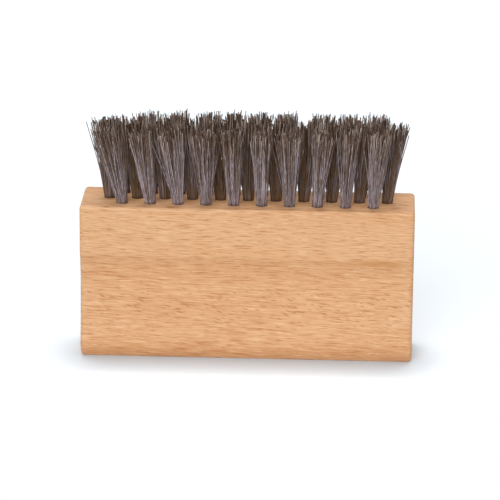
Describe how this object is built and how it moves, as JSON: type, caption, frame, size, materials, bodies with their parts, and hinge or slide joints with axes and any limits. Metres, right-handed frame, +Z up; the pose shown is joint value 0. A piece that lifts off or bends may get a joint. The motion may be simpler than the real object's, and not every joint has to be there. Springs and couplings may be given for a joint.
{
  "type": "suede brush",
  "caption": "Hand-held suede brush: plain beech block with a finger cove along both long sides and staggered rows of fanned grey bristle tufts on top, each held by a hidden metal anchor.",
  "frame": {"origin": "centre of the block's base, on the surface that the brush stands on", "axes": "+X along the block's length, +Y towards the back long side, +Z up to the bristle tips"},
  "size_m": [0.12, 0.0321, 0.086],
  "materials": {
    "beech": "sanded, bare, unvarnished",
    "bristle": "straight extruded nylon filaments, dull sheen",
    "anchor_steel": "cut flat wire, bare"
  },
  "bodies": {
    "root": {"handle_block": "beech", "tuft_front_01": "bristle", "tuft_front_02": "bristle", "tuft_front_03": "bristle", "tuft_front_04": "bristle", "tuft_front_05": "bristle", "tuft_front_06": "bristle", "tuft_front_07": "bristle", "tuft_front_08": "bristle", "tuft_front_09": "bristle", "tuft_front_10": "bristle", "tuft_middle_01": "bristle", "tuft_middle_02": "bristle", "tuft_middle_03": "bristle", "tuft_middle_04": "bristle", "tuft_middle_05": "bristle", "tuft_middle_06": "bristle", "tuft_middle_07": "bristle", "tuft_middle_08": "bristle", "tuft_middle_09": "bristle", "tuft_middle_10": "bristle", "tuft_middle_11": "bristle", "tuft_back_01": "bristle", "tuft_back_02": "bristle", "tuft_back_03": "bristle", "tuft_back_04": "bristle", "tuft_back_05": "bristle", "tuft_back_06": "bristle", "tuft_back_07": "bristle", "tuft_back_08": "bristle", "tuft_back_09": "bristle", "tuft_back_10": "bristle", "anchors_front": "anchor_steel", "anchors_middle": "anchor_steel", "anchors_back": "anchor_steel"}
  },
  "joints": []
}
